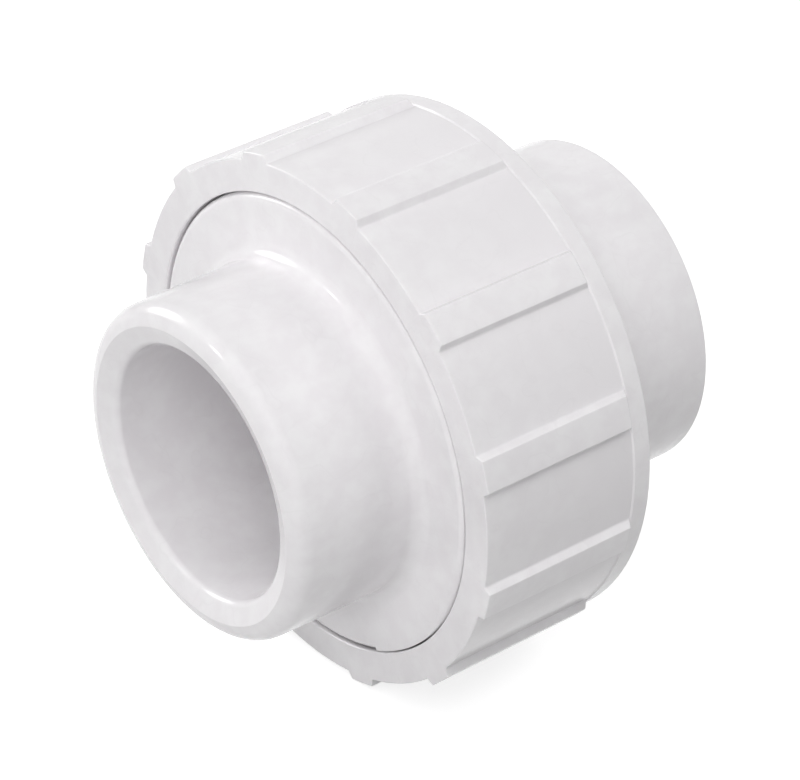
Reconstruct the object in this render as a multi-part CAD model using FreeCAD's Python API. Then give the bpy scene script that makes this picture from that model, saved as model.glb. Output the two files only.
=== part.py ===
import FreeCAD, Part
import math
import os

from FreeCAD import Vector

# Solvent-weld pipe union for nominal 1 inch pipe, all sizes in millimetres.
# The pipe axis is X. The origin is on that axis, halfway between the two rims.
# The threaded body points to -X, the tailpiece to +X, and +Z is up.

# Sockets that take the pipe ends
socket_radius = 16.83
socket_depth = 28.6
waterway_radius = 13.2
hub_wall = 5.42

# Threaded body: hub, disc with the male thread, and the wall between socket and seal
body_stop_wall = 5.4
thread_length = 15.5
disc_margin = 8.3
disc_edge_round = 1.05
hub_draft = 0.22
hub_fillet = 1.9
rim_round = 2.43
rim_dish_depth = 1.1
rim_dish_round = 1.1
rim_flat = 0.15

# Thread, right-handed, six turns to the inch. Angles are from straight down, turning
# the right-handed way about +X.
pitch = 25.4 / 6
thread_depth = 1.65
thread_clearance = 0.2
flank_clearance = 0.3
flank_angle = 15.0
groove_front_wall = 0.5
groove_start_angle = -24.5
square_edge_angle = 20.5
ridge_lag_angle = 50.0
ridge_end_gap = 2.0
thread_overcut = 0.6

# Tailpiece: flange held by the nut, and hub
tail_stop_wall = 2.85
flange_thickness = 5.25
flange_clearance = 0.6
flange_edge_round = 0.5
flange_fillet = 0.8
tail_edge_round = 0.3
tail_lead_in = 1.0
face_gap = 0.05

# Union nut
nut_wall = 4.25
lip_thickness = 5.05
lip_clearance = 0.5
lip_round = 0.6
thread_relief = 0.6
band_width = 2.8
band_height = 0.2
nut_corner_round = 0.4
nut_mouth_round = 0.25
first_rib_angle = 15.0
rib_count = 12
rib_height = 1.03
rib_root_width = 5.1
rib_top_width = 4.2
rib_end_slope = 0.5
rib_root_depth = 1.0

# O-ring, squeezed flat between the seal groove and the flange face
ring_section = 3.53
groove_land = 5.1
groove_depth = 2.8
groove_side_gap = 0.25
ring_side_flat = 0.1

# Sizes that follow from the ones above
hub_radius = socket_radius + hub_wall
disc_radius = hub_radius + disc_margin
thread_root_radius = disc_radius - thread_depth
nut_bore_radius = disc_radius + thread_clearance
nut_crest_radius = thread_root_radius + thread_clearance
nut_radius = nut_bore_radius + nut_wall
flange_radius = nut_crest_radius - flange_clearance
lip_radius = hub_radius + lip_clearance
ring_height = groove_depth + face_gap
ring_flat = (math.pi * (ring_section ** 2 - ring_height ** 2) / 4) / ring_height
ring_width = ring_height + ring_flat
groove_width = ring_width + 2 * groove_side_gap
groove_inner_radius = waterway_radius + groove_land
ring_radius = groove_inner_radius + groove_width / 2

# Places along X
body_length = socket_depth + body_stop_wall
tail_length = socket_depth + tail_stop_wall
total_length = body_length + face_gap + tail_length
body_rim_x = -total_length / 2
seal_x = body_rim_x + body_length
disc_x = seal_x - thread_length
flange_x = seal_x + face_gap
flange_back_x = flange_x + flange_thickness
lip_x = flange_back_x + face_gap
nut_back_x = lip_x + lip_thickness
tail_rim_x = total_length / 2
band_x = nut_back_x - band_width


# Closed wire in the XZ plane through (x, radius, rounding) corners
def outline(corners):
    edges = []
    ends = []
    for i, (x, radius, rounding) in enumerate(corners):
        corner = Vector(x, 0, radius)
        start = corner
        end = corner
        if rounding > 0:
            x_before, radius_before, _ = corners[i - 1]
            x_after, radius_after, _ = corners[(i + 1) % len(corners)]
            back = (Vector(x_before, 0, radius_before) - corner).normalize()
            onward = (Vector(x_after, 0, radius_after) - corner).normalize()
            half_angle = back.getAngle(onward) / 2
            start = corner + back * (rounding / math.tan(half_angle))
            end = corner + onward * (rounding / math.tan(half_angle))
            inward = (back + onward).normalize()
            middle = corner + inward * (rounding / math.sin(half_angle) - rounding)
            edges.append(Part.Arc(start, middle, end).toShape())
        ends.append((start, end))
    for i, (start, end) in enumerate(ends):
        edges.append(Part.makeLine(ends[i - 1][1], start))
    return Part.Wire(Part.sortEdges(edges)[0])


# Solid of revolution about the pipe axis, begun at the top
def turned(corners, sweep_angle=360.0):
    face = Part.Face(outline(corners))
    return face.revolve(Vector(0, 0, 0), Vector(1, 0, 0), sweep_angle)


def turn_about_axis(shape, angle):
    shape.rotate(Vector(0, 0, 0), Vector(1, 0, 0), angle)
    return shape


# Right-handed helical sweep of an (x offset, radius) section
def helical(section, start_x, length, start_angle):
    mean_radius = sum(radius for _, radius in section) / len(section)
    corners = [Vector(radius, 0, offset) for offset, radius in section]
    path = Part.Wire(Part.makeHelix(pitch, length, mean_radius).Edges)
    solid = path.makePipeShell([Part.makePolygon(corners + corners[:1])], True, True)
    solid.rotate(Vector(0, 0, 0), Vector(0, 1, 0), 90)
    turn_about_axis(solid, start_angle)
    solid.translate(Vector(start_x, 0, 0))
    return solid


# Half the thread's width at a radius. Growth widens it from half a pitch at mid-depth.
def thread_half_width(radius, growth):
    mid_radius = disc_radius - thread_depth / 2
    return pitch / 4 + growth + (radius - mid_radius) * math.tan(math.radians(flank_angle))


# Section of a thread between two radii
def thread_section(inner_radius, outer_radius, growth):
    inner = thread_half_width(inner_radius, growth)
    outer = thread_half_width(outer_radius, growth)
    return [(-outer, outer_radius), (-inner, inner_radius), (inner, inner_radius), (outer, outer_radius)]


# Where the groove's middle starts, measured from the disc's face
def groove_start():
    return groove_front_wall + thread_half_width(disc_radius, flank_clearance / 4)


# Groove between the turns of the male thread, as half turns one after another. It starts
# square near the disc's face and runs out through the seal face.
def male_groove():
    section = thread_section(thread_root_radius, disc_radius + thread_overcut, flank_clearance / 4)
    half_turns = math.ceil((thread_length - groove_start() + pitch) / (pitch / 2))
    cutters = []
    for i in range(half_turns):
        start_x = disc_x + groove_start() + i * pitch / 2
        cutters.append(helical(section, start_x, pitch / 2, groove_start_angle + i * 180))
    return cutters


# Ridge of the nut's thread, which starts part of a turn behind the groove's end
def female_ridge():
    section = thread_section(nut_crest_radius, nut_bore_radius + thread_overcut, -flank_clearance / 4)
    start_x = groove_start() + pitch * ridge_lag_angle / 360
    length = thread_length - ridge_end_gap - start_x
    return helical(section, disc_x + start_x, length, groove_start_angle + ridge_lag_angle)


# Cutter that rounds the disc's front edge, except over the thread's square end
def disc_edge_cutter():
    reach = 2 * disc_edge_round
    cutter = turned([
        (disc_x - reach, disc_radius - reach, 0),
        (disc_x, disc_radius - reach, 0),
        (disc_x, disc_radius, disc_edge_round),
        (disc_x + reach, disc_radius, 0),
        (disc_x + reach, disc_radius + reach, 0),
        (disc_x - reach, disc_radius + reach, 0),
    ], 360 - square_edge_angle)
    return turn_about_axis(cutter, groove_start_angle - 180)


def threaded_body():
    stop_x = body_rim_x + socket_depth
    body = turned([
        (body_rim_x, hub_radius - rim_round - rim_flat, 0),
        (body_rim_x, hub_radius, rim_round),
        (disc_x, hub_radius + hub_draft, hub_fillet),
        (disc_x, disc_radius, 0),
        (seal_x - thread_depth, disc_radius, 0),
        (seal_x, thread_root_radius, 0),
        (seal_x, waterway_radius, 0),
        (stop_x, waterway_radius, 0),
        (stop_x, socket_radius, 0),
        (body_rim_x + rim_dish_depth, socket_radius, rim_dish_round),
    ])
    groove = turned([
        (seal_x - groove_depth, groove_inner_radius, 0),
        (seal_x - groove_depth, groove_inner_radius + groove_width, 0),
        (flange_x, groove_inner_radius + groove_width, 0),
        (flange_x, groove_inner_radius, 0),
    ])
    for cutter in [groove, disc_edge_cutter()] + male_groove():
        body = body.cut(cutter)
    return body


def tailpiece():
    stop_x = tail_rim_x - socket_depth
    return turned([
        (flange_x, waterway_radius, 0),
        (flange_x, flange_radius, flange_edge_round),
        (flange_back_x, flange_radius, flange_edge_round),
        (flange_back_x, hub_radius, flange_fillet),
        (tail_rim_x, hub_radius, tail_edge_round),
        (tail_rim_x, socket_radius + tail_lead_in, 0),
        (tail_rim_x - tail_lead_in, socket_radius, 0),
        (stop_x, socket_radius, 0),
        (stop_x, waterway_radius, 0),
    ])


# Grip ribs, flush with the nut's open face, with slanted sides and a sloping far end
def nut_ribs():
    top_radius = nut_radius + rib_height
    root_radius = nut_radius - rib_root_depth
    envelope = turned([
        (disc_x, root_radius, 0),
        (disc_x, top_radius, 0),
        (band_x - rib_end_slope, top_radius, 0),
        (band_x, nut_radius, 0),
        (band_x, root_radius, 0),
    ])
    side_slope = (rib_root_width - rib_top_width) / 2 / rib_height
    half_low = rib_root_width / 2 + side_slope * rib_root_depth
    half_high = rib_top_width / 2 - side_slope * rib_root_depth
    section = Part.makePolygon([
        Vector(disc_x, -half_low, -root_radius),
        Vector(disc_x, half_low, -root_radius),
        Vector(disc_x, half_high, -top_radius - rib_root_depth),
        Vector(disc_x, -half_high, -top_radius - rib_root_depth),
        Vector(disc_x, -half_low, -root_radius),
    ])
    bar = Part.Face(section).extrude(Vector(band_x - disc_x, 0, 0))
    ribs = []
    for i in range(rib_count):
        angle = first_rib_angle + i * 360 / rib_count
        ribs.append(turn_about_axis(bar.copy(), angle).common(envelope))
    return ribs


def union_nut():
    shoulder_x = seal_x + thread_relief
    shell = turned([
        (disc_x, nut_bore_radius, nut_mouth_round),
        (disc_x, nut_radius, 0),
        (band_x, nut_radius, 0),
        (band_x + band_height, nut_radius + band_height, 0),
        (nut_back_x, nut_radius + band_height, nut_corner_round),
        (nut_back_x, lip_radius, lip_round),
        (lip_x, lip_radius, lip_round),
        (lip_x, nut_crest_radius, 0),
        (shoulder_x + nut_bore_radius - nut_crest_radius, nut_crest_radius, 0),
        (shoulder_x, nut_bore_radius, 0),
    ])
    return shell.fuse(nut_ribs()).removeSplitter().fuse(female_ridge())


def o_ring():
    rounding = (ring_height - ring_side_flat) / 2
    bottom_x = seal_x - groove_depth
    inner = ring_radius - ring_width / 2
    outer = ring_radius + ring_width / 2
    return turned([
        (bottom_x, inner, rounding),
        (bottom_x, outer, rounding),
        (flange_x, outer, rounding),
        (flange_x, inner, rounding),
    ])


pieces = {
    "threaded_body": threaded_body(),
    "o_ring": o_ring(),
    "tailpiece": tailpiece(),
    "union_nut": union_nut(),
}
os.makedirs("parts", exist_ok=True)
for name, piece in pieces.items():
    piece.exportStep("parts/" + name + ".step")
    print(name, "volume", round(piece.Volume), "mm3")
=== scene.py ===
import bmesh
import bpy
from math import ceil, cos, degrees, hypot, inf, pi, radians, sin, sqrt, tan
from mathutils import Matrix, Vector


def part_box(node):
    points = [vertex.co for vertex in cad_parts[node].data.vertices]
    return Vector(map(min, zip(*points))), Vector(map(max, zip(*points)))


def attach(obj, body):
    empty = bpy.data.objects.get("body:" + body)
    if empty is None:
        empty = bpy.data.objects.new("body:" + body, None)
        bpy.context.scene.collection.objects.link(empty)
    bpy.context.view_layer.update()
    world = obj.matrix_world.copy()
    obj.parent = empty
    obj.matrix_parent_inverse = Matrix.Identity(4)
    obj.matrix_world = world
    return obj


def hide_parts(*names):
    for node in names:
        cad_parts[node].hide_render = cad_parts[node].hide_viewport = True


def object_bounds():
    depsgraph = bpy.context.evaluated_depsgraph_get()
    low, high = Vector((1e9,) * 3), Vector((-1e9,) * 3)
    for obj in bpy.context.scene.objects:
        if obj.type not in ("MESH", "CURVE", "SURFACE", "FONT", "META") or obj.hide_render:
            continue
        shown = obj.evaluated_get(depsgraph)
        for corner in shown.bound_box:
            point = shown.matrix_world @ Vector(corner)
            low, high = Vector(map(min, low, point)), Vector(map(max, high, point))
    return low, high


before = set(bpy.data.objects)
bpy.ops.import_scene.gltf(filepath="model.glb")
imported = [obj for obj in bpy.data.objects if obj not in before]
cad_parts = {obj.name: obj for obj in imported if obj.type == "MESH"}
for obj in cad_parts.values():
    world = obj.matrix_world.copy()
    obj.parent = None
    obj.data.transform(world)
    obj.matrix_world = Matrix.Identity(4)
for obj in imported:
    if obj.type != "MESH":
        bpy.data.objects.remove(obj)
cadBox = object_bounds()
mm = 0.001  # the numbers below are in millimetres, and Blender's are in metres


# Camera. Angles are in degrees, and azimuth 0 looks along +Y.
cameraSettings = {
    "azimuth": -37.838,
    "elevation": 31.923,
    "roll": -1.471,
    "distance": 469.3,
    "lens": 168.84,
    "aimAt": (-3.79, -5.39, 3.47),
}


def addCamera(settings):
    azimuth = radians(settings["azimuth"])
    elevation = radians(settings["elevation"])
    toCamera = Vector((sin(azimuth) * cos(elevation), -cos(azimuth) * cos(elevation), sin(elevation)))
    right = Vector((cos(azimuth), sin(azimuth), 0))
    right.rotate(Matrix.Rotation(radians(settings["roll"]), 3, toCamera))
    data = bpy.data.cameras.new("camera")
    data.lens = settings["lens"]
    camera = bpy.data.objects.new("camera", data)
    bpy.context.collection.objects.link(camera)
    place = (Vector(settings["aimAt"]) + toCamera * settings["distance"]) * mm
    turn = Matrix((right, toCamera.cross(right), toCamera)).transposed().to_4x4()
    camera.matrix_world = Matrix.Translation(place) @ turn
    bpy.context.scene.camera = camera


print("camera")
addCamera(cameraSettings)


# Sizes that more than one piece shares
fit = {
    "socketRadius": 16.83,
    "socketDepth": 28.6,
    "waterwayRadius": 13.2,
    "hubRadius": 22.25,
    "discRadius": 30.55,      # crest of the male thread
    "rootRadius": 28.9,       # bottom of its groove
    "boreRadius": 30.75,      # nut's bore, at the root of the female thread
    "ridgeRadius": 29.1,      # crest of the female thread
    "boreRound": 0.25,
}

# Thread on the disc and in the nut. Angles are from straight down, the right-handed way about +X.
thread = {
    "pitch": 25.4 / 6,
    "flankAngle": 15,
    "grooveStart": 1.854,     # from the disc's face to the middle of the groove
    "startAngle": -24.5,
    "grooveGrowth": 0.075,    # added to the groove's half width, and taken from the ridge's
    "ridgeGrowth": -0.075,
    "ridgeLag": 50,
    "ridgeEndGap": 2.0,
    "softness": 0.2,          # rounding of the flanks' corners, as a share of a flank
    "landRows": 8,
}

# How finely the meshes are made, and where their shading breaks
meshing = {
    "arcSteps": 6,
    "weldDistance": 1e-7,     # metres
    "shortestEdge": 1e-8,     # metres
    "leastRounding": 1e-6,    # millimetres
    "sharpAngle": 32,
    "angleGap": 0.01,         # degrees each side of a thread's blunt end
}


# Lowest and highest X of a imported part
def placeAlongX(node):
    low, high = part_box(node)
    return low[0] / mm, high[0] / mm


bodyRimX, sealX = placeAlongX("threaded_body")
discX, nutBackX = placeAlongX("union_nut")
flangeX, tailRimX = placeAlongX("tailpiece")
grooveX, _ = placeAlongX("o_ring")


# Points (x, radius, edge) through (x, radius, rounding) corners. Edge is 1 along a rounding.
# A rounding of next to nothing still gets its full count of points, so that columns match.
def sectionThrough(corners, steps=meshing["arcSteps"]):
    points = []
    for i, (x, radius, rounding) in enumerate(corners):
        if rounding <= meshing["leastRounding"]:
            points += [(x, radius, 0.0)] * (steps + 1 if rounding else 1)
            continue
        before = corners[i - 1]
        after = corners[(i + 1) % len(corners)]
        corner = Vector((x, radius))
        back = (Vector(before[:2]) - corner).normalized()
        onward = (Vector(after[:2]) - corner).normalized()
        half = back.angle(onward) / 2
        start = corner + back * rounding / tan(half)
        middle = corner + (back + onward).normalized() * rounding / sin(half)
        sweep = pi - 2 * half
        turnWay = 1 if back.cross(onward) < 0 else -1
        arm = start - middle
        for step in range(steps + 1):
            turn = turnWay * sweep * step / steps
            point = middle + Matrix.Rotation(turn, 2) @ arm
            points.append((point.x, point.y, 1.0))
    return points


# Closed mesh through one section for each angle, in degrees from straight down. The mesh
# carries two marks for the materials: "edge" on roundings, and "face" on the flat at faceX.
def spunMesh(name, angles, sectionAt, faceX=None):
    columns = [sectionAt(angle) for angle in angles]
    rowCount = len(columns[0])
    verts = []
    edges = []
    for angle, column in zip(angles, columns):
        across = sin(radians(angle)) * mm
        upward = -cos(radians(angle)) * mm
        verts += [(x * mm, radius * across, radius * upward) for x, radius, _ in column]
        edges += [mark for _, _, mark in column]
    faces = []
    for i in range(len(columns) - 1):
        for j in range(rowCount):
            k = (j + 1) % rowCount
            first = i * rowCount
            second = first + rowCount
            faces.append((first + j, first + k, second + k, second + j))
    mesh = bpy.data.meshes.new(name)
    mesh.from_pydata(verts, [], faces)
    marks = mesh.attributes.new("edge", "FLOAT", "POINT")
    marks.data.foreach_set("value", edges)
    work = bmesh.new()
    work.from_mesh(mesh)
    bmesh.ops.remove_doubles(work, verts=work.verts, dist=meshing["weldDistance"])
    bmesh.ops.dissolve_degenerate(work, edges=work.edges, dist=meshing["shortestEdge"])
    bmesh.ops.recalc_face_normals(work, faces=work.faces)
    work.to_mesh(mesh)
    work.free()
    flat = mesh.attributes.new("face", "FLOAT", "POINT")
    onFace = [faceX is not None and abs(vert.co.x / mm - faceX) < 0.01 for vert in mesh.vertices]
    flat.data.foreach_set("value", [float(found) for found in onFace])
    mesh.shade_smooth()
    mesh.set_sharp_from_angle(angle=radians(meshing["sharpAngle"]))
    piece = bpy.data.objects.new(name, mesh)
    bpy.context.collection.objects.link(piece)
    evenOut = piece.modifiers.new("flats", "WEIGHTED_NORMAL")
    evenOut.keep_sharp = True
    print("  ", name, len(mesh.polygons), "faces")
    return piece


# Two angles close round a thread's blunt end, which make it a steep step
def bluntEnd(angle):
    gap = meshing["angleGap"]
    return round(angle % 360 - gap, 4), round(angle % 360 + gap, 4)


def evenAngles(count, ends=()):
    angles = {round(360 * i / count, 4) for i in range(count + 1)}
    for angle in ends:
        angles |= set(bluntEnd(angle))
    return sorted(angles)


# Rises from 0 to 1 with both ends eased
def softStep(value, softness):
    if value > 0.5:
        return 1 - softStep(1 - value, softness)
    if value < -softness:
        return 0.0
    if value < softness:
        return (value + softness) ** 2 / (4 * softness)
    return value


# Rows (x, share) across a helical groove or ridge at one angle, kept between lowX and highX.
# Share is 1 at its full depth and 0 on the land between its turns.
def helixRows(angle, startX, startAngle, turns, growth, innerRadius, outerRadius, lowX, highX):
    middle = (fit["rootRadius"] + fit["discRadius"]) / 2
    slope = tan(radians(thread["flankAngle"]))
    pitch = thread["pitch"]
    wide = pitch / 4 + growth + (outerRadius - middle) * slope
    narrow = pitch / 4 + growth + (innerRadius - middle) * slope
    softness = thread["softness"]
    stations = (-softness, -softness / 3, softness / 2, 0.5, 1 - softness / 2, 1 + softness)
    flank = [(wide - (wide - narrow) * t, softStep(t, softness)) for t in stations]
    rising = [(-offset, share) for offset, share in flank]
    falling = [(offset, share) for offset, share in reversed(flank)]
    landStart = falling[-1][0]
    landLength = pitch + rising[0][0] - landStart
    count = thread["landRows"]
    land = [(landStart + landLength * (i + 1) / count, 0.0) for i in range(count - 1)]
    rows = []
    for turn in range(-2, ceil((highX - lowX) / pitch) + 2):
        along = turn + ((angle - startAngle) % 360) / 360
        for offset, share in rising + falling + land:
            x = startX + pitch * along + offset
            cut = share if 0 <= along <= turns else 0.0
            rows.append((min(max(x, lowX), highX), cut))
    return rows


# Threaded body: hub, disc, male thread, seal groove and socket
body = {
    "hubDraft": 0.22,
    "hubFillet": 1.9,
    "rimRound": 2.3,
    "rimFlat": 0.28,
    "rimLean": 0.7,           # how far the rim falls back between its crest and its side
    "crestRound": 0.06,
    "dishDepth": 1.1,
    "dishRound": 1.1,
    "discRound": 1.05,
    "squareFrom": -45,        # angle from which the disc's front edge is square
    "fadeFrom": -68,          # angle from which its rounding fades
    "leastRound": 0.1,
    "sealDepth": 2.8,
    "sealInner": 18.3,
    "sealOuter": 22.85,
    "sealRound": 0.12,
    "smallRound": 0.2,
    "columns": 360,
}


# Rounding of the disc's front edge, square just before the thread's blunt start
def discRoundAt(angle):
    angle = (angle - thread["startAngle"]) % 360 + thread["startAngle"] - 360
    if angle > body["squareFrom"]:
        return body["leastRound"]
    rest = min((body["squareFrom"] - angle) / (body["squareFrom"] - body["fadeFrom"]), 1)
    eased = rest * rest * (3 - 2 * rest)
    return body["leastRound"] + (body["discRound"] - body["leastRound"]) * eased


def bodySection(angle):
    discRadius = fit["discRadius"]
    rootRadius = fit["rootRadius"]
    front = [
        (bodyRimX, fit["hubRadius"] - body["rimRound"] - body["rimFlat"], body["crestRound"]),
        (bodyRimX + body["rimLean"], fit["hubRadius"], body["rimRound"]),
        (discX, fit["hubRadius"] + body["hubDraft"], body["hubFillet"]),
        (discX, discRadius, 0),
    ]
    stopX = bodyRimX + fit["socketDepth"]
    back = [
        (sealX, body["sealOuter"], body["sealRound"]),
        (sealX - body["sealDepth"], body["sealOuter"], body["sealRound"]),
        (sealX - body["sealDepth"], body["sealInner"], body["sealRound"]),
        (sealX, body["sealInner"], body["sealRound"]),
        (sealX, fit["waterwayRadius"], body["smallRound"]),
        (stopX, fit["waterwayRadius"], body["smallRound"]),
        (stopX, fit["socketRadius"], body["smallRound"]),
        (bodyRimX + body["dishDepth"], fit["socketRadius"], body["dishRound"]),
    ]
    around = sectionThrough(front + [(sealX, rootRadius, 0)] + back)
    steps = meshing["arcSteps"]
    frontCount = 3 * (steps + 1)
    rounding = discRoundAt(angle)
    points = around[:frontCount]
    # An arc is the first half of the edge's rounding, and the thread's rows carry the rest
    for step in range(steps + 1):
        turn = pi / 4 * step / steps
        points.append((discX + rounding * (1 - cos(turn)), discRadius - rounding * (1 - sin(turn)), 1.0))
    arcEndX = discX + rounding * (1 - cos(pi / 4))
    rows = helixRows(angle, discX + thread["grooveStart"], thread["startAngle"], inf,
                     thread["grooveGrowth"], rootRadius, discRadius, arcEndX, sealX)
    for x, share in rows:
        inset = max(rounding - (x - discX), 0)
        edgeRadius = discRadius - rounding + sqrt(rounding ** 2 - inset ** 2)
        chamferRadius = rootRadius + sealX - x
        cutRadius = discRadius - (discRadius - rootRadius) * share
        points.append((x, min(edgeRadius, chamferRadius, cutRadius), 1.0 if inset else 0.0))
    return points + around[frontCount + 2:]


# Union nut: twelve ribs, a plain band at the back, an inner lip and the female thread
nut = {
    "radius": 35.0,
    "ribCount": 12,
    "firstRib": 15,
    "ribHeight": 1.03,
    "ribRoot": 5.1,
    "ribTop": 4.2,
    "ribTopRound": 0.16,
    "ribRootRound": 0.3,
    "ribEndSlope": 0.5,
    "ribEndRound": 0.15,
    "faceRound": 0.18,
    "bandWidth": 2.8,
    "bandHeight": 0.2,
    "bandRound": 0.08,
    "backRound": 0.4,
    "lipRadius": 22.75,
    "lipThickness": 5.05,
    "lipRound": 0.6,
    "threadRelief": 0.6,
    "arcSteps": 5,
    "columnsPerRib": 25.2,    # more where a rounding needs them
}

# The female thread starts part of a turn behind the end of the male one
ridgeStart = thread["grooveStart"] + thread["pitch"] * thread["ridgeLag"] / 360
ridge = {
    "startX": discX + ridgeStart,
    "startAngle": thread["startAngle"] + thread["ridgeLag"],
    "turns": (sealX - discX - thread["ridgeEndGap"] - ridgeStart) / thread["pitch"],
}


# One rib and half the gap on each side of it, as (degrees from the rib's middle, height)
def ribColumns():
    halfPitch = nut["radius"] * pi / nut["ribCount"]
    outline = sectionThrough([
        (-halfPitch, 0, 0),
        (-nut["ribRoot"] / 2, 0, nut["ribRootRound"]),
        (-nut["ribTop"] / 2, nut["ribHeight"], nut["ribTopRound"]),
        (nut["ribTop"] / 2, nut["ribHeight"], nut["ribTopRound"]),
        (nut["ribRoot"] / 2, 0, nut["ribRootRound"]),
        (halfPitch, 0, 0),
    ], steps=nut["arcSteps"])
    columns = []
    longest = 2 * halfPitch / nut["columnsPerRib"]
    for (x, height, _), (nextX, nextHeight, _) in zip(outline, outline[1:]):
        steps = max(1, ceil(hypot(nextX - x, nextHeight - height) / longest))
        for step in range(steps):
            share = step / steps
            across = x + (nextX - x) * share
            up = height + (nextHeight - height) * share
            columns.append((degrees(across / (nut["radius"] + up)), up))
    return columns


# Height above the nut's body at each angle round it
def nutColumns():
    heights = {}
    spacing = 360 / nut["ribCount"]
    for i in range(nut["ribCount"]):
        for offset, height in ribColumns():
            heights[round(nut["firstRib"] + spacing * i + offset, 4)] = height
    heights[360.0] = heights[0.0]
    for end in (ridge["startAngle"], ridge["startAngle"] + 360 * ridge["turns"]):
        nearest = min(heights, key=lambda angle: abs(angle - end % 360))
        for angle in bluntEnd(end):
            heights[angle] = heights[nearest]
    return heights


def nutSection(angle, height):
    boreRadius = fit["boreRadius"]
    ridgeDepth = boreRadius - fit["ridgeRadius"]
    topRadius = nut["radius"] + height
    bandX = nutBackX - nut["bandWidth"]
    bandRadius = nut["radius"] + nut["bandHeight"]
    lipX = nutBackX - nut["lipThickness"]
    shoulderX = sealX + nut["threadRelief"]
    share = height / nut["ribHeight"]
    endRound = max(nut["ribEndRound"] * share, meshing["leastRounding"])
    points = sectionThrough([
        (discX, boreRadius, fit["boreRound"]),
        (discX, topRadius, nut["faceRound"]),
        (bandX - nut["ribEndSlope"] * share, topRadius, endRound),
        (bandX, nut["radius"], 0),
        (bandX + nut["bandHeight"], bandRadius, nut["bandRound"]),
        (nutBackX, bandRadius, nut["backRound"]),
        (nutBackX, nut["lipRadius"], nut["lipRound"]),
        (lipX, nut["lipRadius"], nut["lipRound"]),
        (lipX, fit["ridgeRadius"], 0),
        (shoulderX + ridgeDepth, fit["ridgeRadius"], 0),
        (shoulderX, boreRadius, 0),
    ])
    rows = helixRows(angle, ridge["startX"], ridge["startAngle"], ridge["turns"],
                     thread["ridgeGrowth"], fit["ridgeRadius"], boreRadius,
                     discX + fit["boreRound"], shoulderX)
    return points + [(x, boreRadius - ridgeDepth * cut, 0.0) for x, cut in reversed(rows)]


# Tailpiece: flange with the seal face, hub and socket
tail = {
    "flangeRadius": 28.5,
    "flangeThickness": 5.25,
    "flangeRound": 0.5,
    "flangeFillet": 0.8,
    "rimRound": 0.22,
    "leadIn": 1.0,
    "leadRound": 0.12,
    "smallRound": 0.2,
    "columns": 288,
}


# The same at every angle, as is the ring's
def tailSection(angle):
    backX = flangeX + tail["flangeThickness"]
    stopX = tailRimX - fit["socketDepth"]
    return sectionThrough([
        (flangeX, fit["waterwayRadius"], tail["smallRound"]),
        (flangeX, tail["flangeRadius"], tail["flangeRound"]),
        (backX, tail["flangeRadius"], tail["flangeRound"]),
        (backX, fit["hubRadius"], tail["flangeFillet"]),
        (tailRimX, fit["hubRadius"], tail["rimRound"]),
        (tailRimX, fit["socketRadius"] + tail["leadIn"], tail["leadRound"]),
        (tailRimX - tail["leadIn"], fit["socketRadius"], tail["leadRound"]),
        (stopX, fit["socketRadius"], tail["smallRound"]),
        (stopX, fit["waterwayRadius"], tail["smallRound"]),
    ])


# O-ring, squeezed between the groove and the flange
ring = {
    "width": 4.05,
    "middle": 20.575,
    "sideFlat": 0.1,
    "arcSteps": 10,
    "columns": 240,
}


def ringSection(angle):
    rounding = (flangeX - grooveX - ring["sideFlat"]) / 2
    inner = ring["middle"] - ring["width"] / 2
    outer = ring["middle"] + ring["width"] / 2
    corners = [(grooveX, inner), (grooveX, outer), (flangeX, outer), (flangeX, inner)]
    return sectionThrough([(x, radius, rounding) for x, radius in corners], steps=ring["arcSteps"])


print("pieces")
bodyAngles = evenAngles(body["columns"], [thread["startAngle"]])
bodyPiece = spunMesh("bodyMoulding", bodyAngles, bodySection, sealX)
heights = nutColumns()
nutPiece = spunMesh("nutMoulding", sorted(heights), lambda angle: nutSection(angle, heights[angle]))
tailPiece = spunMesh("tailMoulding", evenAngles(tail["columns"]), tailSection, flangeX)
ringPiece = spunMesh("sealRing", evenAngles(ring["columns"]), ringSection)


# Adds a node, and sets its sockets or its own settings by name
def addNode(tree, kind, **values):
    node = tree.nodes.new(kind)
    for key, value in values.items():
        if key in node.inputs:
            node.inputs[key].default_value = value
        else:
            setattr(node, key, value)
    return node


def newGroup(name, numbers, outputs):
    group = bpy.data.node_groups.new(name, "ShaderNodeTree")
    for label, value in numbers.items():
        socket = group.interface.new_socket(label, in_out="INPUT", socket_type="NodeSocketFloat")
        socket.default_value = value
    for label in outputs:
        group.interface.new_socket(label, in_out="OUTPUT", socket_type="NodeSocketFloat")
    return group, addNode(group, "NodeGroupInput"), addNode(group, "NodeGroupOutput")


def placeGroup(tree, group, **values):
    return addNode(tree, "ShaderNodeGroup", node_tree=group, **values)


# Noise of one size in millimetres, which may be stretched along X
def noiseIn(tree, given, sizeLabel, detail, stretchLabel=None):
    where = addNode(tree, "ShaderNodeTexCoord")
    scale = addNode(tree, "ShaderNodeMath", operation="DIVIDE")
    scale.inputs[0].default_value = 1 / mm
    tree.links.new(given.outputs[sizeLabel], scale.inputs[1])
    noise = addNode(tree, "ShaderNodeTexNoise", Detail=detail, Roughness=0.55)
    tree.links.new(scale.outputs[0], noise.inputs["Scale"])
    if stretchLabel:
        squash = addNode(tree, "ShaderNodeMath", operation="DIVIDE")
        squash.inputs[0].default_value = 1
        tree.links.new(given.outputs[stretchLabel], squash.inputs[1])
        along = addNode(tree, "ShaderNodeCombineXYZ", Y=1, Z=1)
        tree.links.new(squash.outputs[0], along.inputs["X"])
        sized = addNode(tree, "ShaderNodeVectorMath", operation="MULTIPLY")
        tree.links.new(where.outputs["Object"], sized.inputs[0])
        tree.links.new(along.outputs[0], sized.inputs[1])
        tree.links.new(sized.outputs[0], noise.inputs["Vector"])
    else:
        tree.links.new(where.outputs["Object"], noise.inputs["Vector"])
    return noise.outputs["Fac"]


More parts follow.
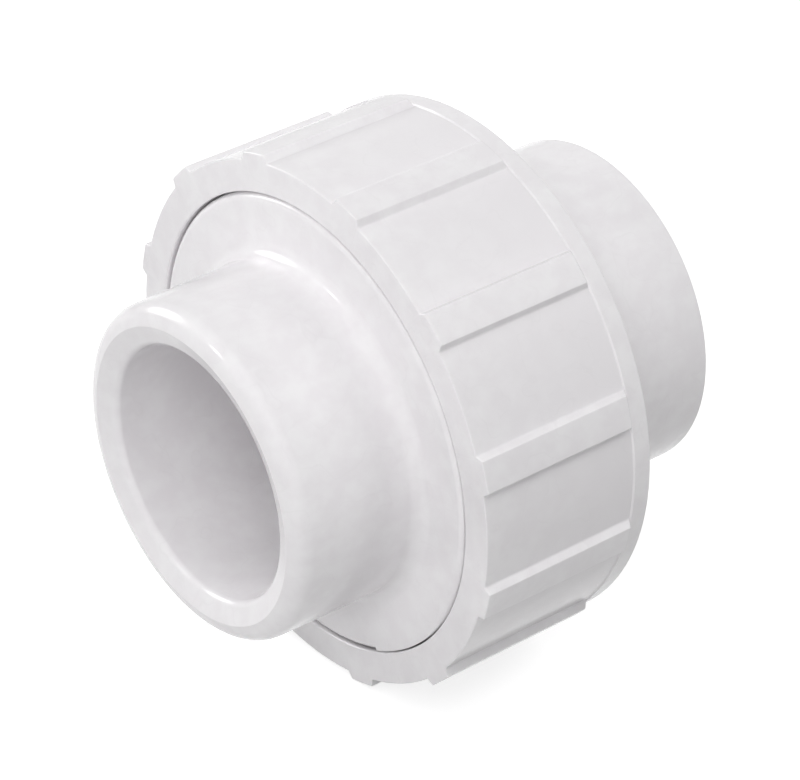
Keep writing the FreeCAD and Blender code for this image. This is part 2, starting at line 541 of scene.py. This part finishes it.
# First plus second times weight
def weighed(tree, first, second, weight):
    sized = addNode(tree, "ShaderNodeMath", operation="MULTIPLY")
    total = addNode(tree, "ShaderNodeMath", operation="ADD")
    tree.links.new(second, sized.inputs[0])
    tree.links.new(weight, sized.inputs[1])
    tree.links.new(first, total.inputs[0])
    tree.links.new(sized.outputs[0], total.inputs[1])
    return total.outputs[0]


# Moulded skin: slow flow marks, orange peel and fine grain. Height is in millimetres.
def makeSkinGroup():
    numbers = {"Flow size": 14, "Peel size": 2.2, "Grain size": 0.25, "Peel height": 0.01,
               "Grain height": 0.002, "Stretch": 3}
    group, given, out = newGroup("mouldedSkin", numbers, ["Height", "Flow", "Grain"])
    flow = noiseIn(group, given, "Flow size", 2, "Stretch")
    peel = noiseIn(group, given, "Peel size", 1)
    grain = noiseIn(group, given, "Grain size", 3)
    peelHeight = addNode(group, "ShaderNodeMath", operation="MULTIPLY")
    group.links.new(peel, peelHeight.inputs[0])
    group.links.new(given.outputs["Peel height"], peelHeight.inputs[1])
    height = weighed(group, peelHeight.outputs[0], grain, given.outputs["Grain height"])
    group.links.new(height, out.inputs["Height"])
    group.links.new(flow, out.inputs["Flow"])
    group.links.new(grain, out.inputs["Grain"])
    return group


# Rubbed edges: where a mesh's rounding is marked, broken up by noise
def makeRubGroup():
    group, given, out = newGroup("rubbedEdge", {"Patch size": 3, "Least": 0.45, "Most": 0.65}, ["Mask"])
    mark = addNode(group, "ShaderNodeAttribute", attribute_name="edge")
    noise = noiseIn(group, given, "Patch size", 3)
    spread = addNode(group, "ShaderNodeMapRange")
    group.links.new(noise, spread.inputs["Value"])
    group.links.new(given.outputs["Least"], spread.inputs["From Min"])
    group.links.new(given.outputs["Most"], spread.inputs["From Max"])
    both = addNode(group, "ShaderNodeMath", operation="MULTIPLY")
    group.links.new(mark.outputs["Fac"], both.inputs[0])
    group.links.new(spread.outputs[0], both.inputs[1])
    group.links.new(both.outputs[0], out.inputs["Mask"])
    return group


# Fine scuffs from handling, as thin curved threads
def makeScuffGroup():
    group, given, out = newGroup("handlingScuffs", {"Size": 9, "Width": 0.012, "Amount": 0.5}, ["Mask"])
    threadNoise = noiseIn(group, given, "Size", 2)
    fromMiddle = addNode(group, "ShaderNodeMath", operation="SUBTRACT")
    fromMiddle.inputs[1].default_value = 0.5
    distance = addNode(group, "ShaderNodeMath", operation="ABSOLUTE")
    spread = addNode(group, "ShaderNodeMapRange")
    spread.inputs["To Min"].default_value = 1
    spread.inputs["To Max"].default_value = 0
    group.links.new(threadNoise, fromMiddle.inputs[0])
    group.links.new(fromMiddle.outputs[0], distance.inputs[0])
    group.links.new(distance.outputs[0], spread.inputs["Value"])
    group.links.new(given.outputs["Width"], spread.inputs["From Max"])
    sized = addNode(group, "ShaderNodeMath", operation="MULTIPLY")
    group.links.new(spread.outputs[0], sized.inputs[0])
    group.links.new(given.outputs["Amount"], sized.inputs[1])
    group.links.new(sized.outputs[0], out.inputs["Mask"])
    return group


# Lathe rings on a flat seal face, from the distance to the pipe's axis
def makeRingGroup():
    group, given, out = newGroup("faceRings", {"Spacing": 0.35, "Height": 0.006}, ["Height"])
    where = addNode(group, "ShaderNodeTexCoord")
    flat = addNode(group, "ShaderNodeVectorMath", operation="MULTIPLY")
    flat.inputs[1].default_value = (0, 1 / mm, 1 / mm)
    length = addNode(group, "ShaderNodeVectorMath", operation="LENGTH")
    turns = addNode(group, "ShaderNodeMath", operation="DIVIDE")
    phase = addNode(group, "ShaderNodeMath", operation="MULTIPLY")
    phase.inputs[1].default_value = 2 * pi
    wave = addNode(group, "ShaderNodeMath", operation="SINE")
    mark = addNode(group, "ShaderNodeAttribute", attribute_name="face")
    shown = addNode(group, "ShaderNodeMath", operation="MULTIPLY")
    sized = addNode(group, "ShaderNodeMath", operation="MULTIPLY")
    group.links.new(where.outputs["Object"], flat.inputs[0])
    group.links.new(flat.outputs[0], length.inputs[0])
    group.links.new(length.outputs["Value"], turns.inputs[0])
    group.links.new(given.outputs["Spacing"], turns.inputs[1])
    group.links.new(turns.outputs[0], phase.inputs[0])
    group.links.new(phase.outputs[0], wave.inputs[0])
    group.links.new(wave.outputs[0], shown.inputs[0])
    group.links.new(mark.outputs["Fac"], shown.inputs[1])
    group.links.new(shown.outputs[0], sized.inputs[0])
    group.links.new(given.outputs["Height"], sized.inputs[1])
    group.links.new(sized.outputs[0], out.inputs["Height"])
    return group


print("materials")
skinGroup = makeSkinGroup()
rubGroup = makeRubGroup()
scuffGroup = makeScuffGroup()
ringGroup = makeRingGroup()


# Colour between first and second. Either may be a socket or three numbers.
def mixColour(tree, factor, first, second):
    mix = addNode(tree, "ShaderNodeMix", data_type="RGBA")
    tree.links.new(factor, mix.inputs[0])
    for value, socket in ((first, mix.inputs[6]), (second, mix.inputs[7])):  # A and B for colours
        if isinstance(value, bpy.types.NodeSocket):
            tree.links.new(value, socket)
        else:
            socket.default_value = (*value, 1)
    return mix.outputs[2]


# Moulded plastic or rubber, from one of the looks below
def mouldedMaterial(name, look):
    material = bpy.data.materials.new(name)
    material.use_nodes = True
    tree = material.node_tree
    link = tree.links.new
    shader = tree.nodes["Principled BSDF"]
    shader.inputs["IOR"].default_value = look["ior"]
    shader.inputs["Subsurface Weight"].default_value = look["softLight"]
    shader.inputs["Subsurface Radius"].default_value = (1, 1, 1)
    shader.inputs["Subsurface Scale"].default_value = look["lightReach"] * mm
    skin = placeGroup(tree, skinGroup, **look["skin"])
    rub = placeGroup(tree, rubGroup, **look["rub"])
    scuffs = placeGroup(tree, scuffGroup, **look["scuffs"])
    rings = placeGroup(tree, ringGroup)
    toned = mixColour(tree, skin.outputs["Flow"], look["darker"], look["colour"])
    rubbed = mixColour(tree, rub.outputs["Mask"], toned, look["rubbed"])
    scuffed = mixColour(tree, scuffs.outputs["Mask"], rubbed, look["scuffed"])
    link(scuffed, shader.inputs["Base Color"])
    low, high = look["roughness"]
    gloss = addNode(tree, "ShaderNodeMapRange")
    gloss.inputs["From Min"].default_value = 0.3  # most of the grain lies between these two
    gloss.inputs["From Max"].default_value = 0.7
    gloss.inputs["To Min"].default_value = low
    gloss.inputs["To Max"].default_value = high
    duller = addNode(tree, "ShaderNodeMath", operation="MULTIPLY_ADD")
    duller.inputs[1].default_value = look["scuffRoughness"]
    link(skin.outputs["Grain"], gloss.inputs["Value"])
    link(scuffs.outputs["Mask"], duller.inputs[0])
    link(gloss.outputs[0], duller.inputs[2])
    link(duller.outputs[0], shader.inputs["Roughness"])
    height = addNode(tree, "ShaderNodeMath", operation="ADD")
    bump = addNode(tree, "ShaderNodeBump", Distance=mm)
    link(skin.outputs["Height"], height.inputs[0])
    link(rings.outputs["Height"], height.inputs[1])
    link(height.outputs[0], bump.inputs["Height"])
    link(bump.outputs["Normal"], shader.inputs["Normal"])
    return material


# White PVC, a little lighter or darker by shade. Sizes are in millimetres.
def pvcLook(shade, **changes):
    look = {
        "colour": tuple(shade * part for part in (0.905, 0.885, 0.903)),
        "darker": tuple(shade * part for part in (0.892, 0.868, 0.889)),
        "rubbed": (0.93, 0.915, 0.93),
        "scuffed": (0.84, 0.82, 0.835),
        "ior": 1.53,
        "softLight": 0.25,    # share of the light that spreads under the surface
        "lightReach": 1.5,
        "roughness": (0.12, 0.22),
        "scuffRoughness": 0.2,
        "skin": {"Flow size": 14, "Peel size": 2.2, "Grain size": 0.25, "Peel height": 0.005,
                 "Grain height": 0.0008, "Stretch": 3},
        "rub": {"Patch size": 3, "Least": 0.4, "Most": 0.65},
        "scuffs": {"Size": 9, "Width": 0.008, "Amount": 0.25},
    }
    look.update(changes)
    return look


looks = {
    "bodyPvc": pvcLook(1.0),
    "nutPvc": pvcLook(0.995, roughness=(0.13, 0.25)),
    "tailPvc": pvcLook(1.0),
    "sealRubber": {
        "colour": (0.03, 0.03, 0.031),
        "darker": (0.018, 0.018, 0.018),
        "rubbed": (0.045, 0.045, 0.045),
        "scuffed": (0.08, 0.08, 0.08),
        "ior": 1.5,
        "softLight": 0.0,
        "lightReach": 1.5,
        "roughness": (0.45, 0.65),
        "scuffRoughness": 0.1,
        "skin": {"Flow size": 6, "Peel size": 1.2, "Grain size": 0.12, "Peel height": 0.008,
                 "Grain height": 0.006, "Stretch": 1},
        "rub": {"Patch size": 2, "Least": 0.45, "Most": 0.7},
        "scuffs": {"Size": 5, "Width": 0.01, "Amount": 0.3},
    },
}
finishes = {name: mouldedMaterial(name, look) for name, look in looks.items()}

# Each piece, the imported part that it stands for, its body, its slot and its finish
standsFor = [
    (bodyPiece, "threaded_body", "threaded_body", "pvc_body", "bodyPvc"),
    (nutPiece, "union_nut", "union_nut", "pvc_nut", "nutPvc"),
    (tailPiece, "tailpiece", "tailpiece", "pvc_tailpiece", "tailPvc"),
    (ringPiece, "o_ring", "threaded_body", "epdm", "sealRubber"),
]
for piece, node, ridesOn, slotName, finish in standsFor:
    piece.data.materials.append(finishes[finish])
    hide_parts(node)
    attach(piece, ridesOn)


# Floor and surroundings. Both are white to the camera and in reflections.
studio = {
    "floorSize": 6,
    "floorColour": (0.5, 0.5, 0.5, 1),
    "floorRoughness": 0.9,
    "floorGlow": 0.75,
    "worldColour": (1, 1, 1, 1),
    "worldSeen": 1.0,
    "worldLight": 0.03,
    "lampDistance": 0.6,
}

# Each lamp's azimuth, elevation, size in metres, power in watts, and whether gloss shows it
lamps = {
    "key": (-46, 45, 0.3, 1.15, False),
    "window": (-115, 38, 0.07, 0.25, True),
    "overhead": (-50, 78, 0.3, 0.8, False),
    "front": (-84, 4, 0.3, 0.75, False),
    "lowFill": (-25, 8, 0.3, 0.35, False),
    "right": (45, 50, 0.3, 0.85, False),
    "backLeft": (-158, 22, 0.3, 1.15, True),
    "backRight": (105, 20, 0.4, 1.0, False),
}


def addLamp(name, azimuth, elevation, size, power, inGloss):
    around = radians(azimuth)
    up = radians(elevation)
    away = Vector((sin(around) * cos(up), -cos(around) * cos(up), sin(up)))
    data = bpy.data.lights.new(name, "AREA")
    data.shape = "DISK"
    data.size = size
    data.energy = power
    lamp = bpy.data.objects.new(name, data)
    bpy.context.collection.objects.link(lamp)
    lamp.location = away * studio["lampDistance"]
    lamp.visible_glossy = inGloss
    lamp.rotation_euler = lamp.location.to_track_quat("Z", "Y").to_euler()


# The seen shader to the camera and in reflections, and the lit one for everything else
def seenOrLit(tree, seen, lit):
    path = addNode(tree, "ShaderNodeLightPath")
    first = addNode(tree, "ShaderNodeMath", operation="MAXIMUM")
    second = addNode(tree, "ShaderNodeMath", operation="MAXIMUM")
    mix = addNode(tree, "ShaderNodeMixShader")
    tree.links.new(path.outputs["Is Camera Ray"], first.inputs[0])
    tree.links.new(path.outputs["Is Glossy Ray"], first.inputs[1])
    tree.links.new(first.outputs[0], second.inputs[0])
    tree.links.new(path.outputs["Is Transmission Ray"], second.inputs[1])
    tree.links.new(second.outputs[0], mix.inputs[0])
    tree.links.new(lit.outputs[0], mix.inputs[1])
    tree.links.new(seen.outputs[0], mix.inputs[2])
    return mix


def addFloor(height):
    bpy.ops.mesh.primitive_plane_add(size=studio["floorSize"], location=(0, 0, height))
    floor = bpy.context.object
    floor.name = "floor"
    material = bpy.data.materials.new("floor")
    material.use_nodes = True
    tree = material.node_tree
    matt = tree.nodes["Principled BSDF"]
    matt.inputs["Base Color"].default_value = studio["floorColour"]
    matt.inputs["Roughness"].default_value = studio["floorRoughness"]
    glow = addNode(tree, "ShaderNodeEmission", Strength=studio["floorGlow"])
    glowing = addNode(tree, "ShaderNodeAddShader")
    tree.links.new(matt.outputs[0], glowing.inputs[0])
    tree.links.new(glow.outputs[0], glowing.inputs[1])
    mix = seenOrLit(tree, glowing, matt)
    tree.links.new(mix.outputs[0], tree.nodes["Material Output"].inputs["Surface"])
    floor.data.materials.append(material)


def addWorld():
    world = bpy.data.worlds.new("studio")
    bpy.context.scene.world = world
    world.use_nodes = True
    tree = world.node_tree
    lit = tree.nodes["Background"]
    lit.inputs["Strength"].default_value = studio["worldLight"]
    seen = addNode(tree, "ShaderNodeBackground", Strength=studio["worldSeen"])
    seen.inputs["Color"].default_value = studio["worldColour"]
    mix = seenOrLit(tree, seen, lit)
    tree.links.new(mix.outputs[0], tree.nodes["World Output"].inputs["Surface"])


print("floor and light")
addFloor(cadBox[0][2])
addWorld()
for name, settings in lamps.items():
    addLamp(name, *settings)
bpy.context.scene.view_settings.view_transform = "Standard"
